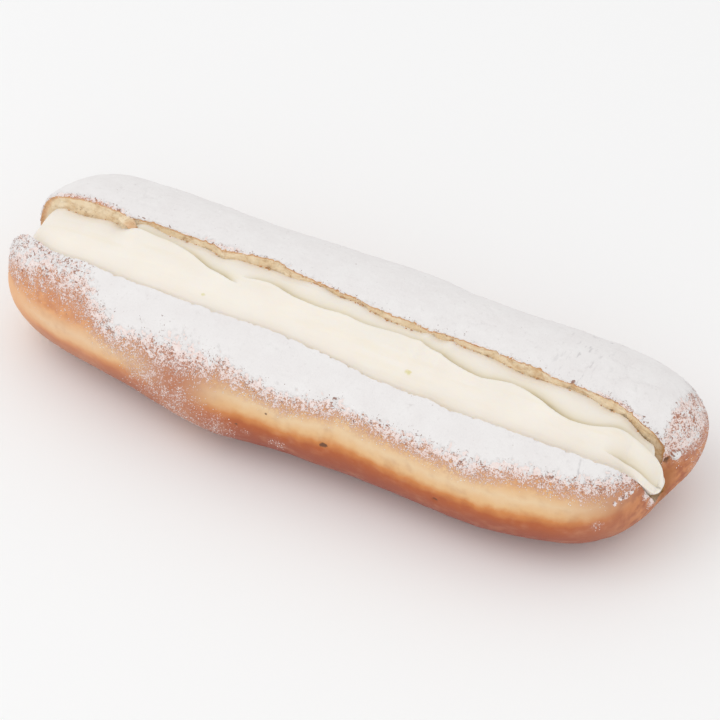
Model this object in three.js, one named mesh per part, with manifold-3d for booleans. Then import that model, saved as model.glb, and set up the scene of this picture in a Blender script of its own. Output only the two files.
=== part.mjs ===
// A cream finger doughnut: a long fried bun, slit from above along its whole length and opened
// into a V, with whipped cream piped into the slit. Two solids: the bun, whose two halves hang
// together along a hinge at the base, and the cream, which fills the slit and stands above it.
//
// Millimetres, +Z up. X runs along the bun, +Y is the side of the tall half, Z = 0 is the base.

import * as THREE from 'three';
import { mergeVertices } from 'three/addons/utils/BufferGeometryUtils.js';
import Module from 'manifold-3d';

// ---- Driving dimensions ----------------------------------------------------------------------

// The bun's two ends along X, before the halves' own tips reach past them.
const BUN_LEFT = -86.5;
const BUN_RIGHT = 84.7;

// Height of the bun's axis over the base, and its place across.
const AXIS_HEIGHT = 19.1;
const AXIS_ACROSS = 1.87;

// The crust settles softly onto the base, and is flat where it would sink further than this.
const BASE_SOFTNESS = 1;
const BASE_SETTLING = 0.6;

// How far the crust lies from the axis in eight directions, a step of 45 degrees apart, from
// the tall half's side over the top to the low half's side and back under the base.
const CRUST_RADII = [
  26.1, // back, the tall half's side
  21.4, // back and up
  16.8, // straight up
  18.4, // front and up, the low half's shoulder
  28.6, // front, the low half's side
  24.6, // front and down
  19.3, // straight down, cut off flat by the base
  23.5, // back and down
];

const [BACK_RADIUS, , , , FRONT_RADIUS] = CRUST_RADII;

// Swellings along each side: where (fraction of the half length), how wide, how much.
const FRONT_SWELLS = [
  { at: -1.0, width: 0.45, amount: -0.22 },
  { at: -0.25, width: 0.2, amount: 0.09 },
  { at: 0.1, width: 0.15, amount: 0.015 },
  { at: 0.55, width: 0.25, amount: 0.07 },
  { at: 1.0, width: 0.3, amount: 0.1 },
];
const BACK_SWELLS = [
  { at: -1.0, width: 0.35, amount: 0.08 },
  { at: 0.08, width: 0.13, amount: 0.05 },
  { at: 0.45, width: 0.3, amount: -0.07 },
  { at: 1.0, width: 0.35, amount: 0.03 },
];
const CROWN_SWELLS = [
  { at: -1.0, width: 0.4, amount: 0.06 },
  { at: 1.0, width: 0.4, amount: -0.13 },
];
const SHOULDER_SWELLS = [
  { at: -1.0, width: 0.25, amount: 0.1 },
  { at: 1.0, width: 0.4, amount: -0.03 },
];

// The axis bends towards the tall half near the right end, in millimetres.
const AXIS_BENDS = [
  { at: 1.0, width: 0.35, amount: 3.1 },
];

// How each end closes: the blunter a side, the later it draws in. The top closes on its own,
// because the slit's lips stay high nearly to the tips.
const LEFT_END = { back: 15, front: 8.3, backTop: 7.8, frontTop: 25, roundness: 2.7, reach: 2.8 };
const RIGHT_END = { back: 5.8, front: 7.7, backTop: 5.1, frontTop: 24, roundness: 2.7, reach: 2.8 };

// The reach above shifts the low half's tips left and the tall half's right, more and more over
// the last stretch of the bun. Between the tips, an end is drawn in by a shallow notch.
const TIP_ONSET = 8;
const TIP_MIDDLE = -2;
const TIP_SPREAD = 16;
const NOTCH = { depth: 3.5, across: -3, width: 4.4, fromHeight: 6, toHeight: 18 };

// The slit: its root, which rises at the right end, and its two lips. Each lip's height is where
// its place across is given. A lip swings forward about one place along the bun, and bends a
// little elsewhere.
const ROOT_HEIGHT = 8;
const ROOT_RISES = [
  { at: 90.6, width: 12, amount: 5.5 },
];
const ROOT_ACROSS = -2.7;
const ROOT_WIDTH = 2;
const ROOT_WIDENS = [
  { at: 84, width: 4, amount: 3.2 },
];
const TALL_LIP = {
  height: 35,
  middle: 2.1,
  swing: 1.3,
  at: -3.4,
  over: 9,
  bends: [
    { at: -86.4, width: 7, amount: 1.9 },
    { at: -58, width: 5, amount: -0.5 },
    { at: -21, width: 5, amount: 0.9 },
    { at: 2, width: 5, amount: 0.8 },
    { at: 56, width: 4, amount: -0.6 },
    { at: 78, width: 5, amount: -1.9 },
    { at: 85, width: 3, amount: 4.5 },
  ],
};
const LOW_LIP = {
  height: 31,
  middle: -15,
  swing: 2.3,
  at: 12.6,
  over: 20,
  bends: [
    { at: -86, width: 4, amount: -3.5 },
    { at: -86.4, width: 10, amount: 5.3 },
    { at: -65.4, width: 12, amount: 0.8 },
    { at: -26, width: 6, amount: -0.4 },
    { at: 18, width: 9, amount: -0.7 },
    { at: 76.6, width: 9, amount: 0.8 },
    { at: 85, width: 3, amount: -5 },
  ],
};
const SLIT_TOP = 50;
const SLIT_OVERRUN = 12;

// The cream's two ends, its clearance to the bun, its crown over the line between the lips, how
// far under the low half's lip its side begins, and how square its arch is. Its top takes this
// share of the steps around a section.
const CREAM_LEFT = -82;
const CREAM_RIGHT = 84.6;
const CLEARANCE = 0.3;
const CREAM_CROWN = 3.2;
const CREAM_TUCK = 1.2;
const CREAM_ARCH = 2.2;
const CREAM_TOP_SHARE = 0.6;

// Each end of the cream draws in towards a place across and a height, and is blunter by one half
// than by the other. The top sags at the left end, and the underside rises at the right one.
const CREAM_LEFT_END = { across: -3, height: 22, low: 36, tall: 34, roundness: 2.3, recess: 0 };
const CREAM_RIGHT_END = { across: -8.5, height: 20, low: 22, tall: 20, roundness: 2, recess: 3.8 };

// The roll by the tall half stops short of the end by the recess.
const RECESS_FROM = 0.52;
const RECESS_TO = 0.78;
const RECESS_ONSET = 10;
const LOW_SIDE_UNTIL = 0.05;
const TALL_SIDE_FROM = 0.6;
const CREAM_SAGS = [
  { at: -84, width: 6, amount: 4 },
];
const FLOOR_RISES = [
  { at: 90, width: 12, amount: 6 },
];

// How deep the cream lies under the tall half's lip, so that cut crumb shows above it.
const CRUMB_SHOWN = 2;
const LEAST_CRUMB = 0.2;
const CRUMB_CHANGES = [
  { at: -71, width: 9, amount: 2.5 },
  { at: -78, width: 3, amount: -0.6 },
  { at: -60, width: 3, amount: 1.2 },
  { at: -54.5, width: 3.5, amount: -1.1 },
  { at: -33.5, width: 3, amount: 0.9 },
  { at: -22, width: 6, amount: 0.7 },
  { at: -8, width: 5, amount: -1.2 },
  { at: 4, width: 5, amount: -0.7 },
  { at: 22, width: 1.5, amount: -0.8 },
  { at: 28, width: 1.5, amount: -0.7 },
  { at: 46, width: 6, amount: 1.1 },
  { at: 57, width: 3.5, amount: -0.5 },
  { at: 67.5, width: 3.5, amount: 0.9 },
  { at: 80, width: 3.5, amount: 1.2 },
];

// The creases between the piped ridges. Each winds from place to place along the bun, and drifts
// across the cream (0 at the low half's lip, 1 at the tall half's). It is deeper at its swells.
const CREASES = [
  { depth: 1.5, swells: [], path: [[-58, 0.77], [-48, 0.77], [-25, 0.47]] },
  {
    depth: 0.9,
    swells: [
      { at: -14, width: 5, amount: 0.7 },
      { at: 30, width: 8, amount: 0.6 },
      { at: 55, width: 6, amount: 0.9 },
      { at: 75, width: 5, amount: 0.5 },
    ],
    path: [
      [-25, 0.6], [-18, 0.63], [-9, 0.52], [4, 0.59], [17, 0.73], [38, 0.5],
      [46, 0.62], [62, 0.39], [78, 0.66], [86, 0.54],
    ],
  },
  { depth: 0.8, swells: [], path: [[71, 0.18], [87, 0.1]] },
];
const CREASE_LIP = 0.35;
const CREASE_SOFTNESS = 0.9;
const CREASE_RECOVERY = 2.2;
const CREASE_MARGIN = 0.08;
const CREASE_FADE = 4;

// Mesh fineness: steps along and around.
const BUN_STEPS = { along: 60, around: 36 };
const CREAM_STEPS = { along: 70, around: 32 };
const SLIT_STEPS = 48;

// ---- Small helpers ---------------------------------------------------------------------------

const bump = (x, { at, width, amount }) => amount * Math.exp(-(((x - at) / width) ** 2));
const sumOfBumps = (x, bumps) => bumps.reduce((sum, one) => sum + bump(x, one), 0);
const { clamp, lerp, smoothstep } = THREE.MathUtils;

// A closed curve through evenly spaced values, as the shortest sum of cosines and sines.
function roundTheClock(values, angle) {
  const count = values.length;
  let total = 0;
  for (let wave = 0; wave <= count / 2; wave += 1) {
    const share = wave === 0 || wave === count / 2 ? 1 : 2;
    values.forEach((value, k) => {
      total += (share * value * Math.cos(wave * (angle - (2 * Math.PI * k) / count))) / count;
    });
  }
  return total;
}

// How open a section still is at fraction t of the half length: 1 in the middle, 0 at the tip.
function endClosing(t, blunt, roundness) {
  return Math.max(1 - Math.abs(t) ** blunt, 0) ** (1 / roundness);
}

// A ball whose poles point along X, with every vertex moved to place(t, angle).
function loft(steps, place) {
  const ball = new THREE.SphereGeometry(1, steps.around, steps.along);
  ball.rotateZ(Math.PI / 2);
  ball.deleteAttribute('normal');
  ball.deleteAttribute('uv');
  const skin = mergeVertices(ball, 1e-5);
  const vertices = skin.attributes.position;
  for (let i = 0; i < vertices.count; i += 1) {
    const t = clamp(vertices.getX(i), -1, 1);
    const turn = Math.atan2(vertices.getZ(i), vertices.getY(i));
    vertices.setXYZ(i, ...place(t, turn < 0 ? turn + 2 * Math.PI : turn));
  }
  return skin;
}

// ---- The bun ---------------------------------------------------------------------------------

// The crust's point at fraction t of the half length (-1 left, 1 right) and an angle around.
function crustPoint(t, angle) {
  const end = t < 0 ? LEFT_END : RIGHT_END;
  const frontShare = (1 - Math.cos(angle)) / 2;
  const close = (back, front) => lerp(
    endClosing(t, back, end.roundness),
    endClosing(t, front, end.roundness),
    frontShare,
  );
  const closing = close(end.back, end.front);

  const radius = roundTheClock(CRUST_RADII, angle);
  const across = radius * Math.cos(angle);
  const upward = radius * Math.sin(angle);
  const frontness = clamp(-across / FRONT_RADIUS, 0, 1);
  const backness = clamp(across / BACK_RADIUS, 0, 1);
  const swell = 1 + frontness * sumOfBumps(t, FRONT_SWELLS) + backness * sumOfBumps(t, BACK_SWELLS);
  const fullness = 1 + lerp(sumOfBumps(t, CROWN_SWELLS), sumOfBumps(t, SHOULDER_SWELLS), frontShare);
  const rise = upward > 0 ? fullness * close(end.backTop, end.frontTop) : swell * closing;

  const y = across * swell * closing + sumOfBumps(t, AXIS_BENDS);
  const height = AXIS_HEIGHT + upward * rise;
  const z = Math.max((height + Math.hypot(height, BASE_SOFTNESS)) / 2 - BASE_SETTLING, 0);

  // Each half has a tip of its own: the tips lie at different lengths, with a notch between.
  const atEnd = Math.abs(t) ** TIP_ONSET;
  const tip = clamp((y - TIP_MIDDLE) / TIP_SPREAD, -1, 1) * end.reach;
  const notch = bump(y, { at: NOTCH.across, width: NOTCH.width, amount: NOTCH.depth })
    * clamp((z - NOTCH.fromHeight) / (NOTCH.toHeight - NOTCH.fromHeight), 0, 1);
  const x = lerp(BUN_LEFT, BUN_RIGHT, (t + 1) / 2) + (tip - Math.sign(t) * notch) * atEnd;
  return [x, y + AXIS_ACROSS, z];
}

// Where the two lips of the slit lie across the bun, at a place x along it.
const sway = (x, lip) => lip.middle - lip.swing * Math.tanh((x - lip.at) / lip.over);
const tallLip = (x) => sway(x, TALL_LIP) + sumOfBumps(x, TALL_LIP.bends);
const lowLip = (x) => sway(x, LOW_LIP) + sumOfBumps(x, LOW_LIP.bends);
const rootHeight = (x) => ROOT_HEIGHT + sumOfBumps(x, ROOT_RISES);
const halfRoot = (x) => (ROOT_WIDTH + sumOfBumps(x, ROOT_WIDENS)) / 2;

// The slit's two faces at a place along the bun and a height.
function tallFace(x, z) {
  const root = ROOT_ACROSS + halfRoot(x);
  const lowEnd = rootHeight(x);
  return lerp(root, tallLip(x), (z - lowEnd) / (TALL_LIP.height - lowEnd));
}
function lowFace(x, z) {
  const root = ROOT_ACROSS - halfRoot(x);
  const lowEnd = rootHeight(x);
  return lerp(root, lowLip(x), (z - lowEnd) / (LOW_LIP.height - lowEnd));
}

// What the knife and the opening take away: a wedge that runs out past both ends.
function slitWedge() {
  const length = BUN_RIGHT - BUN_LEFT + 2 * SLIT_OVERRUN;
  const box = new THREE.BoxGeometry(length, 1, 1, SLIT_STEPS, 1, 2);
  box.deleteAttribute('normal');
  box.deleteAttribute('uv');
  const wedge = mergeVertices(box, 1e-5);
  const vertices = wedge.attributes.position;
  for (let i = 0; i < vertices.count; i += 1) {
    const x = vertices.getX(i) + (BUN_RIGHT + BUN_LEFT) / 2;
    const z = lerp(rootHeight(x), SLIT_TOP, vertices.getZ(i) + 0.5);
    const y = vertices.getY(i) > 0 ? tallFace(x, z) : lowFace(x, z);
    vertices.setXYZ(i, x, y, z);
  }
  return wedge;
}

// ---- The cream -------------------------------------------------------------------------------

// The height of the crust over a place across, found by halving the angle around the section.
function crustHeight(t, y) {
  let back = Math.PI / 4;
  let front = Math.PI;
  for (let i = 0; i < 24; i += 1) {
    const middle = (back + front) / 2;
    if (crustPoint(t, middle)[1] > y) {
      back = middle;
    } else {
      front = middle;
    }
  }
  return crustPoint(t, back)[2];
}

// Where a crease lies across the cream at x, easing from each place of its path to the next.
function creasePlace(x, path) {
  const next = path.findIndex(([at]) => at > x);
  const [from, start] = path[next - 1];
  const [to, finish] = path[next];
  return lerp(start, finish, smoothstep(x, from, to));
}

// How much the creases change the cream's height: each ridge ends in a rounded lip, and the
// next one dives under it and slowly comes up again behind.
function creaseRelief(x, s, width) {
  let relief = 0;
  for (const { depth, swells, path } of CREASES) {
    const [first] = path[0];
    const [last] = path[path.length - 1];
    if (x <= first || x >= last) continue;
    const fade = clamp(Math.min(x - first, last - x) / CREASE_FADE, 0, 1);
    const deep = (depth + sumOfBumps(x, swells)) * fade;
    const behind = (s - creasePlace(x, path)) * width;
    const step = smoothstep(behind, -CREASE_SOFTNESS, CREASE_SOFTNESS);
    const dive = Math.exp(-Math.max(behind, 0) / CREASE_RECOVERY);
    const lip = Math.exp(Math.min(behind, 0) / CREASE_RECOVERY);
    relief += deep * (CREASE_LIP * (1 - step) * lip - step * dive);
  }
  return relief;
}

// Past this fraction of the half length the cream keeps the heights it has there.
const LAST_FULL_SECTION = 0.9;

// The cream's section in the slit at x, as a closed loop over q from 0 to 1: from the tall
// half over the ridges to the low half, then down one face of the slit and up the other. With
// each place comes how near it is to the tall half, from 0 to 1.
function creamSection(x, q) {
  const share = ((x - BUN_LEFT) / (BUN_RIGHT - BUN_LEFT)) * 2 - 1;
  const t = clamp(share, -LAST_FULL_SECTION, LAST_FULL_SECTION);
  const shown = Math.max(CRUMB_SHOWN + sumOfBumps(x, CRUMB_CHANGES), LEAST_CRUMB);
  const highZ = crustHeight(t, tallLip(x)) - shown;
  const lowZ = crustHeight(t, lowLip(x)) - CREAM_TUCK;
  const highY = tallFace(x, highZ) - CLEARANCE;
  const lowY = lowFace(x, lowZ) + CLEARANCE;

  if (q < CREAM_TOP_SHARE) {
    const s = 1 - q / CREAM_TOP_SHARE;
    const arch = 1 - Math.abs(2 * s - 1) ** CREAM_ARCH;
    const width = highY - lowY;
    const edge = smoothstep(Math.min(s, 1 - s), 0, CREASE_MARGIN);
    const sag = sumOfBumps(x, CREAM_SAGS) * Math.sin(Math.PI * s);
    const z = lerp(lowZ, highZ, s) + CREAM_CROWN * arch + creaseRelief(x, s, width) * edge - sag;
    return [lerp(lowY, highY, s), z, s];
  }
  const v = (q - CREAM_TOP_SHARE) / (1 - CREAM_TOP_SHARE);
  const floor = rootHeight(x) + CLEARANCE + sumOfBumps(x, FLOOR_RISES);
  if (v < 0.5) {
    const z = lerp(lowZ, floor, v * 2);
    return [lowFace(x, z) + CLEARANCE, z, v];
  }
  const z = lerp(floor, highZ, v * 2 - 1);
  return [tallFace(x, z) - CLEARANCE, z, v];
}

function creamPoint(t, angle) {
  const x = lerp(CREAM_LEFT, CREAM_RIGHT, (t + 1) / 2);
  const [y, z, tallness] = creamSection(x, angle / (2 * Math.PI));
  const end = t < 0 ? CREAM_LEFT_END : CREAM_RIGHT_END;
  const blunt = lerp(end.low, end.tall, smoothstep(tallness, LOW_SIDE_UNTIL, TALL_SIDE_FROM));
  const closing = endClosing(t, blunt, end.roundness);
  const shorter = end.recess * smoothstep(tallness, RECESS_FROM, RECESS_TO) * Math.abs(t) ** RECESS_ONSET;
  return [x - Math.sign(t) * shorter, lerp(end.across, y, closing), lerp(end.height, z, closing)];
}

// ---- Solids and meshes -----------------------------------------------------------------------

const wasm = await Module();
wasm.setup();

function toSolid(geometry) {
  return new wasm.Manifold(new wasm.Mesh({
    numProp: 3,
    vertProperties: new Float32Array(geometry.attributes.position.array),
    triVerts: new Uint32Array(geometry.index.array),
  }));
}

function toGeometry(solid) {
  const mesh = solid.getMesh();
  const geometry = new THREE.BufferGeometry();
  geometry.setAttribute('position', new THREE.BufferAttribute(mesh.vertProperties, 3));
  geometry.setIndex(new THREE.BufferAttribute(mesh.triVerts, 1));
  geometry.computeVertexNormals();
  return geometry;
}

function makeBun() {
  const whole = toSolid(loft(BUN_STEPS, crustPoint));
  const wedge = toSolid(slitWedge());
  const bun = new THREE.Mesh(
    toGeometry(whole.subtract(wedge)),
    new THREE.MeshStandardMaterial({ color: 0xc98550, roughness: 0.6, metalness: 0 }),
  );
  bun.name = 'bun';
  return bun;
}

function makeCream() {
  const geometry = loft(CREAM_STEPS, creamPoint);
  geometry.computeVertexNormals();
  const cream = new THREE.Mesh(
    geometry,
    new THREE.MeshStandardMaterial({ color: 0xf6eedf, roughness: 0.5, metalness: 0 }),
  );
  cream.name = 'cream';
  return cream;
}

const doughnut = new THREE.Group();
doughnut.name = 'cream_finger_doughnut';
doughnut.add(makeBun(), makeCream());

export default doughnut;
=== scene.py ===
# %% [markdown]
# # A cream finger doughnut
#
# The real thing is a long bun of yeast dough, fried on one side and then the other, so a pale band
# stays round its side where it floated above the oil. It is slit from above, opened into a V, piped
# full of whipped cream and dusted with icing sugar. The solids of the part give the sizes. This
# script makes the fine surfaces over them: crust, torn crumb, sugar, cream and loose crumbs. The bun
# lies along X, its tall half towards plus Y and its low half towards minus Y.

import math
import bpy
import numpy as np
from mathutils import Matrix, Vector
from mathutils.bvhtree import BVHTree


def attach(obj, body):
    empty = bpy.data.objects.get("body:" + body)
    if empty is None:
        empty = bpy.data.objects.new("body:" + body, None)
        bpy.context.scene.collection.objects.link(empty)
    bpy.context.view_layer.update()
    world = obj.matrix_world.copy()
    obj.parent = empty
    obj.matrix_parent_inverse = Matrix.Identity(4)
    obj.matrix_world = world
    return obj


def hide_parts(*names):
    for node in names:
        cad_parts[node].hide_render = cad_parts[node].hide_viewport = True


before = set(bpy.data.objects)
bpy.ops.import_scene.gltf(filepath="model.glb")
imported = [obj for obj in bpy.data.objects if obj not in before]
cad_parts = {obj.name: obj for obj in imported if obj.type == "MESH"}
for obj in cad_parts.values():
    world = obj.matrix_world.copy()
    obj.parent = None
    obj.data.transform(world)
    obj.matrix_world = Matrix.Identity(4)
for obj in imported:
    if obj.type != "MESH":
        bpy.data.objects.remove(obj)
bpy.context.view_layer.update()
MM = 0.001

# %% [markdown]
# ## The form of the bun
#
# The solid of the bun is a loft: a closed section that swells and shrinks along the bun and closes
# softly at both ends. Smoothing the coarse solid would round off the slit's lips, so the same named
# sizes are worked out again on a finer net. All of these sizes are in millimetres.

# %% Sizes of the bun
BUN_LEFT, BUN_RIGHT = -86.5, 84.7
AXIS_HEIGHT, AXIS_ACROSS = 19.1, 1.87
# The underside is pressed flat: how softly its edge turns up, and how deep it is pressed.
BASE_SOFTNESS, BASE_SETTLING = 1.0, 0.6

# Distance of the crust from the axis, from the tall half's side over the top and round, 45 degrees apart.
CRUST_RADII = np.array([26.1, 21.4, 16.8, 18.4, 28.6, 24.6, 19.3, 23.5])
BACK_RADIUS, FRONT_RADIUS = CRUST_RADII[0], CRUST_RADII[4]

# Swellings: place along the half length, width, amount.
FRONT_SWELLS = [(-1, 0.45, -0.22), (-0.25, 0.2, 0.09), (0.1, 0.15, 0.015), (0.55, 0.25, 0.07), (1, 0.3, 0.1)]
BACK_SWELLS = [(-1, 0.35, 0.08), (0.08, 0.13, 0.05), (0.45, 0.3, -0.07), (1, 0.35, 0.03)]
CROWN_SWELLS = [(-1, 0.4, 0.06), (1, 0.4, -0.13)]
SHOULDER_SWELLS = [(-1, 0.25, 0.1), (1, 0.4, -0.03)]
AXIS_BENDS = [(1, 0.35, 3.1)]
print("bun:", BUN_RIGHT - BUN_LEFT, "mm long, its axis", AXIS_HEIGHT, "mm over the base")

# %% Sizes of its ends
# How blunt each end is, on the tall half's side, the low half's side, and on top of each, and how far
# each half is slid along there, the tall one towards plus X and the low one towards minus X.
LEFT_END = {"back": 15, "front": 8.3, "back_top": 7.8, "front_top": 25, "reach": 2.8}
RIGHT_END = {"back": 5.8, "front": 7.7, "back_top": 5.1, "front_top": 24, "reach": 2.8}
END_ROUNDNESS = 2.7
# How late towards the ends that slide sets in, and where across and how widely it changes over.
TIP_ONSET, TIP_MIDDLE, TIP_SPREAD = 8, -2, 16
# The dimple between the halves at each end: how deep, where across, how wide, over what heights.
NOTCH_DEPTH, NOTCH_ACROSS, NOTCH_WIDTH, NOTCH_FROM, NOTCH_TO = 3.5, -3, 4.4, 6, 18
print("dimple at each end:", NOTCH_DEPTH, "mm deep")


# %% The crust as a function
def lerp(a, b, share):
    """A value between two, at a share of the way from the first to the second."""
    return a + (b - a) * share


def smoothstep(x, low, high):
    """0 at one value and 1 at the other, easing out of the first and into the second."""
    share = np.clip((x - low) / (high - low), 0, 1)
    return share * share * (3 - 2 * share)


def bumps(x, shapes):
    """The sum of soft bumps, each given as (place, width, amount)."""
    return sum(amount * np.exp(-(((x - at) / width) ** 2)) for at, width, amount in shapes)


def round_the_clock(values, angle):
    """A closed curve through evenly spaced values, as a sum of cosines and sines."""
    count, total = len(values), 0
    for wave in range(count // 2 + 1):
        share = 1 if wave in (0, count // 2) else 2
        for k, value in enumerate(values):
            total = total + share * value * np.cos(wave * (angle - 2 * np.pi * k / count)) / count
    return total


def end_closing(t, blunt, roundness=END_ROUNDNESS):
    """How open a section still is: 1 in the middle of the bun, 0 at its tip."""
    return np.maximum(1 - np.abs(t) ** blunt, 0) ** (1 / roundness)


def crust(t, angle):
    """Points of the crust at fractions t of the half length (-1 to 1) and angles round the axis."""
    size = {key: np.where(t < 0, LEFT_END[key], RIGHT_END[key]) for key in LEFT_END}
    front_share = (1 - np.cos(angle)) / 2
    closing = lerp(end_closing(t, size["back"]), end_closing(t, size["front"]), front_share)
    top_closing = lerp(end_closing(t, size["back_top"]), end_closing(t, size["front_top"]), front_share)

    radius = round_the_clock(CRUST_RADII, angle)
    across, upward = radius * np.cos(angle), radius * np.sin(angle)
    swell = 1 + np.clip(-across / FRONT_RADIUS, 0, 1) * bumps(t, FRONT_SWELLS)
    swell = swell + np.clip(across / BACK_RADIUS, 0, 1) * bumps(t, BACK_SWELLS)
    fullness = 1 + lerp(bumps(t, CROWN_SWELLS), bumps(t, SHOULDER_SWELLS), front_share)
    rise = np.where(upward > 0, fullness * top_closing, swell * closing)

    y = across * swell * closing + bumps(t, AXIS_BENDS)
    height = AXIS_HEIGHT + upward * rise
    z = np.maximum((height + np.hypot(height, BASE_SOFTNESS)) / 2 - BASE_SETTLING, 0)

    at_end = np.abs(t) ** TIP_ONSET
    tip = np.clip((y - TIP_MIDDLE) / TIP_SPREAD, -1, 1) * size["reach"]
    notch = NOTCH_DEPTH * np.exp(-(((y - NOTCH_ACROSS) / NOTCH_WIDTH) ** 2))
    notch = notch * np.clip((z - NOTCH_FROM) / (NOTCH_TO - NOTCH_FROM), 0, 1)
    x = lerp(BUN_LEFT, BUN_RIGHT, (t + 1) / 2) + (tip - np.sign(t) * notch) * at_end
    return np.stack(np.broadcast_arrays(x, y + AXIS_ACROSS, z), axis=-1)


middle = crust(np.zeros(4), np.radians([0.0, 90.0, 180.0, 270.0]))
print("middle section: sides at y", middle[[0, 2], 1].round(1))
print("middle section: top and base at z", middle[[1, 3], 2].round(1))


# %% [markdown]
# A net of rings along the bun, closed by a point at each end, becomes one shut mesh. Rings spaced
# evenly along the outline keep the faces square round the blunt ends, where equal steps along X
# would stretch them.

# %% Objects and their triangles
def into_scene(name, data):
    """A new object in the scene, with that mesh, light or camera."""
    made = bpy.data.objects.new(name, data)
    bpy.context.scene.collection.objects.link(made)
    return made


def triangles(made):
    """How many triangles a piece's faces come to."""
    return sum(len(face.vertices) - 2 for face in made.data.polygons)


# %% From rings to a closed mesh
OUTLINE_SAMPLES = 4001


def even_stations(count):
    """Fractions of the half length at which rings lie evenly spaced along the bun's outline."""
    fine = np.sin(np.linspace(-np.pi / 2, np.pi / 2, OUTLINE_SAMPLES))
    outline = crust(fine, np.full_like(fine, np.pi))
    steps = np.linalg.norm(np.diff(outline, axis=0), axis=1)
    length = np.concatenate(([0], np.cumsum(steps)))
    return np.interp(np.linspace(0, length[-1], count), length, fine)


def mesh_object(name, points, faces):
    """A mesh object from points in millimetres."""
    mesh = bpy.data.meshes.new(name)
    mesh.from_pydata((points * MM).tolist(), [], faces)
    mesh.validate()
    return into_scene(name, mesh)


def closed_loft(name, rings):
    """A shut mesh through rings of points (ring, place round it, xyz). The end rings are single points."""
    count, around = rings.shape[:2]
    points = np.concatenate((rings[0, :1], rings[1:-1].reshape(-1, 3), rings[-1, :1]))
    index = np.arange((count - 2) * around).reshape(count - 2, around) + 1
    after = np.roll(index, -1, axis=1)
    quads = np.stack((index[:-1], after[:-1], after[1:], index[1:]), axis=-1).reshape(-1, 4)
    first = np.stack((np.zeros_like(index[0]), after[0], index[0]), axis=-1)
    last = np.stack((np.full_like(index[0], len(points) - 1), index[-1], after[-1]), axis=-1)
    return mesh_object(name, points, quads.tolist() + first.tolist() + last.tolist())


def crust_loft(name, stations, angles):
    """The uncut crust as a shut mesh."""
    t, angle = np.meshgrid(even_stations(stations), angles, indexing="ij")
    return closed_loft(name, crust(t, angle))


CRUST_STATIONS, CRUST_AROUND = 300, 210
crust_skin = crust_loft("crust_skin", CRUST_STATIONS, np.linspace(0, 2 * np.pi, CRUST_AROUND, endpoint=False))
print("crust net:", len(crust_skin.data.polygons), "faces")


# %% [markdown]
# ## Nodes written as expressions
#
# Geometry Nodes give the surfaces their relief, and shader nodes give them their colour. Both kinds
# of tree are written here as sums and products in Python: a small class wraps a node's output, and
# an operator on it adds a Math node. Any other node comes from one method.

# %% A class for a node's output
class Value:
    """One output of a node, on which an operator adds a Math node."""

    def __init__(self, nodes, socket):
        self.nodes, self.socket = nodes, socket

    def math(self, operation, *terms):
        """A Math node with these terms, each a value or a number."""
        return self.nodes.add("ShaderNodeMath", {"operation": operation}, dict(enumerate(terms)))

    def __add__(self, other):
        return self.math("ADD", self, other)

    def __sub__(self, other):
        return self.math("SUBTRACT", self, other)

    def __mul__(self, other):
        return self.math("MULTIPLY", self, other)

    def __truediv__(self, other):
        return self.math("DIVIDE", self, other)

    def __rsub__(self, other):
        return self.math("SUBTRACT", other, self)

    __radd__, __rmul__ = __add__, __mul__

    def above(self, least):
        """The value, or the least one where it would be less."""
        return self.math("MAXIMUM", self, least)

    def ramp(self, low, high):
        """0 below one value, 1 above the other, with a soft step between."""
        ends = {"Value": self, "From Min": low, "From Max": high}
        return self.nodes.add("ShaderNodeMapRange", {"interpolation_type": "SMOOTHSTEP"}, ends)

    def other(self, output):
        """Another output of the same node."""
        return Value(self.nodes, self.socket.node.outputs[output])


# %% A class that adds the nodes
class Nodes:
    """A tree to write in. Each method adds a node and gives back one of its outputs."""

    def __init__(self, tree):
        self.tree = tree

    def add(self, kind, settings=None, inputs=None, output=0):
        """Adds a node of that kind, makes its settings, fills its sockets and gives back one output."""
        node = self.tree.nodes.new(kind)
        for name, value in (settings or {}).items():
            if name == "stops":
                self.set_stops(node.color_ramp, value)
            else:
                setattr(node, name, value)
        for key, value in (inputs or {}).items():
            if isinstance(value, Value):
                self.tree.links.new(value.socket, node.inputs[key])
            else:
                node.inputs[key].default_value = value
        return Value(self, node.outputs[output]) if len(node.outputs) else None

    @staticmethod
    def set_stops(ramp, stops):
        """Gives a colour ramp its stops, each a place from 0 to 1 and a colour."""
        while len(ramp.elements) < len(stops):
            ramp.elements.new(1)
        for element, (place, colour) in zip(ramp.elements, stops):
            element.position, element.color = place, colour

    def noise(self, place, size, detail=1, roughness=0.5):
        """Smooth noise from -1 to 1, nearly, whose lumps are about size millimetres across."""
        inputs = {"Vector": place, "Scale": 1 / size, "Detail": detail, "Roughness": roughness}
        return (self.add("ShaderNodeTexNoise", None, inputs) - 0.5) * 2

    def cells(self, place, size, feature="F1"):
        """Distance from the nearest of many scattered points, a cell being about size millimetres."""
        inputs = {"Vector": place, "Scale": 1 / size}
        return self.add("ShaderNodeTexVoronoi", {"feature": feature}, inputs)

    def scaled(self, vector, factor):
        """A vector times one number."""
        return self.add("ShaderNodeVectorMath", {"operation": "SCALE"}, {0: vector, "Scale": factor})

    def stretched(self, vector, factors):
        """A vector times one number along each axis. A factor below 1 draws a pattern out."""
        return self.add("ShaderNodeVectorMath", {"operation": "MULTIPLY"}, {0: vector, 1: factors})

    def mix(self, share, low, high):
        """A colour between two. A Mix node's colours are its inputs 6 and 7 and its output 2."""
        return self.add("ShaderNodeMix", {"data_type": "RGBA"}, {0: share, 6: low, 7: high}, output=2)


# %% [markdown]
# A relief is a tree of its own with the same frame each time: read each point's place in
# millimetres, work out a height, and move the point along its normal. The result is made a plain
# mesh at once, because the export wants finished meshes.

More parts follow.
